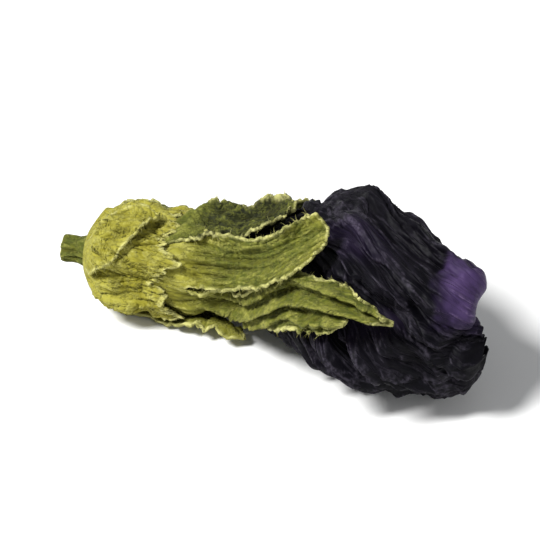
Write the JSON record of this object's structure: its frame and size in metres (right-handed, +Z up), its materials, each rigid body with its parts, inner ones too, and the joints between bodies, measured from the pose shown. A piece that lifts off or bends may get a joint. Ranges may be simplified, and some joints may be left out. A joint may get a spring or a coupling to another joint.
{
  "type": "dried mallow flower",
  "caption": "Dried mallow flower lying on its side: dark violet pleated corolla in a yellow-green calyx with sepals, bracts and a pale staminal column.",
  "frame": {"origin": "on the surface that the flower lies on, under the middle of its bounding box", "axes": "+X along the flower from the stub of the stalk to the petals' margins, its longest side; +Z up, its shortest side"},
  "size_m": [0.0256, 0.0142, 0.0105],
  "materials": {
    "calyx": "dry, felted, yellow-green with pale ribs and margins",
    "corolla": "dry, thin, blue-black violet, wrinkled along the veins, with a faint sheen",
    "staminal_column": "dry, matt, pale violet"
  },
  "bodies": {
    "root": {"calyx": "calyx", "corolla": "corolla", "staminal_column": "staminal_column"}
  },
  "joints": []
}
